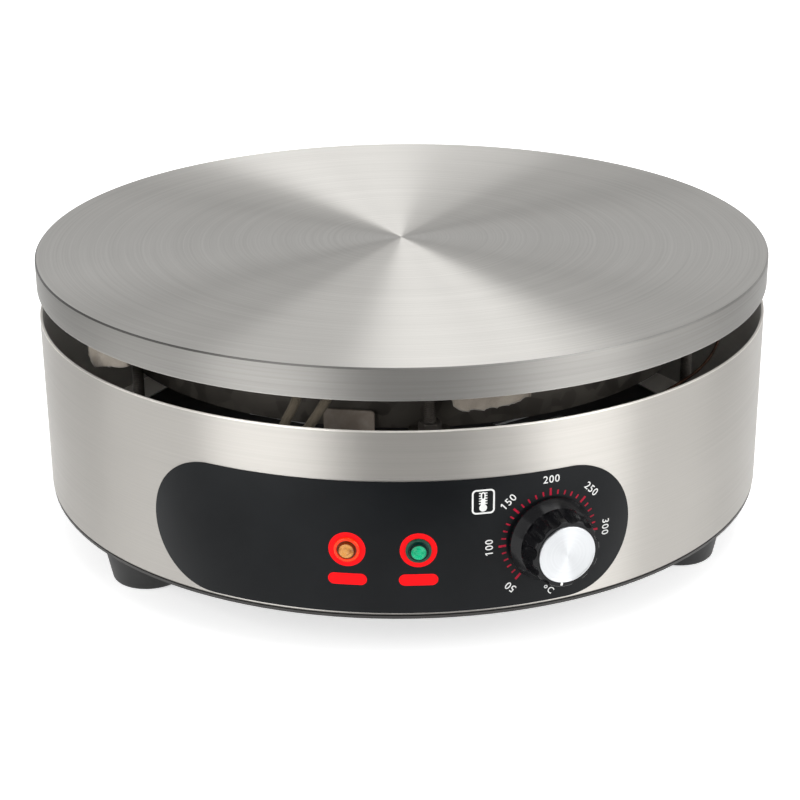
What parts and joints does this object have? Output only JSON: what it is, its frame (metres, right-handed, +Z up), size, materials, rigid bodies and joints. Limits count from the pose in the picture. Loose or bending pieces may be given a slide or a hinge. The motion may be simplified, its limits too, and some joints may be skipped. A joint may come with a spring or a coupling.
{
  "type": "electric crepe maker",
  "caption": "Electric crepe maker: a thick round iron griddle on three studs over a round stainless housing with a thermostat knob, signal lamps and rubber feet.",
  "frame": {"origin": "under the griddle's centre, at the height of the feet's undersides", "axes": "+Z up through the griddle's centre, -Y towards the control panel, +X to the right seen from the front"},
  "size_m": [0.3999, 0.4185, 0.159],
  "materials": {
    "griddle_iron": "machined and ground cast iron, turned in fine rings",
    "stainless_sheet": "rolled stainless sheet with a fine brushed grain",
    "zinc_sheet": "zinc-coated sheet steel, dull and slightly mottled",
    "zinc_fastener": "bright zinc-plated steel threads and nuts",
    "element_sheath": "heat-darkened sheath of the heating tubes",
    "pin_steel": "plain steel pins and clamps",
    "insulation_fibre": "loose white ceramic-fibre blanket",
    "panel_print": "satin black printed film, white and red markings",
    "amber_lens": "clear orange lens with a gold face",
    "green_lens": "clear green lens",
    "black_moulding": "moulded black plastic",
    "knob_plastic": "moulded semi-gloss black plastic",
    "knob_cap_aluminium": "spun aluminium disc with a bright edge",
    "pointer_white": "white filled line",
    "spring_steel": "blued spring steel",
    "brass_terminal": "tinned brass terminals",
    "copper_tube": "fine copper tube and bulb",
    "lead_sleeve": "tan glass-fibre sleeve on the heater leads",
    "lead_plastic": "silicone-insulated leads",
    "block_porcelain": "white porcelain terminal block",
    "thermostat_moulding": "moulded heat-proof body",
    "foot_rubber": "black moulded rubber"
  },
  "bodies": {
    "root": {"griddle_plate": "griddle_iron", "plate_studs": "zinc_fastener", "plate_stud_nuts": "zinc_fastener", "foot_washers": "zinc_fastener", "tray_studs": "zinc_fastener", "tray_stud_nuts": "zinc_fastener", "insulation_tray": "zinc_sheet", "insulation_blanket": "insulation_fibre", "heating_element_outer": "element_sheath", "heating_element_inner": "element_sheath", "element_pins": "pin_steel", "element_clamp_bars": "pin_steel", "clamp_studs": "zinc_fastener", "clamp_nuts": "zinc_fastener", "sensor_bulb": "copper_tube", "sensor_clip": "pin_steel", "sensor_clip_screws": "zinc_fastener", "housing_shell": "stainless_sheet", "base_plate": "zinc_sheet", "housing_screws": "zinc_fastener", "housing_nuts": "zinc_fastener", "control_panel_overlay": "panel_print", "power_lamp_lens": "amber_lens", "power_lamp_body": "black_moulding", "heat_lamp_lens": "green_lens", "heat_lamp_body": "black_moulding", "lamp_clips": "spring_steel", "lamp_tabs": "brass_terminal", "thermostat_plate": "zinc_sheet", "thermostat_body": "thermostat_moulding", "thermostat_capsule": "copper_tube", "thermostat_tabs": "brass_terminal", "thermostat_screws": "zinc_fastener", "cable_gland_body": "black_moulding", "cable_gland_seal": "foot_rubber", "cable_gland_cap": "black_moulding", "cable_gland_locknut": "black_moulding", "wiring_bracket": "zinc_sheet", "bracket_screws": "zinc_fastener", "bracket_nuts": "zinc_fastener", "terminal_block": "block_porcelain", "terminal_inserts": "brass_terminal", "terminal_screws": "zinc_fastener", "earth_stud": "zinc_fastener", "earth_nuts": "brass_terminal", "earth_washer": "brass_terminal", "supply_lead": "lead_plastic", "heater_leads": "lead_sleeve", "heater_links": "lead_sleeve", "lamp_leads": "lead_plastic", "capillary_tube": "copper_tube", "foot_front_left": "foot_rubber", "foot_front_right": "foot_rubber", "foot_rear": "foot_rubber"},
    "knob": {"knob_body": "knob_plastic", "knob_cap": "knob_cap_aluminium", "knob_pointer": "pointer_white", "knob_leaf_spring": "spring_steel", "thermostat_spindle": "pin_steel"}
  },
  "joints": [
    {"name": "knob_turn", "type": "hinge", "parent": "root", "child": "knob", "pos_m": [0.0776, -0.18379, 0.0658], "axis": [-0.389, 0.9213, 0], "range_deg": [0, 261]}
  ]
}
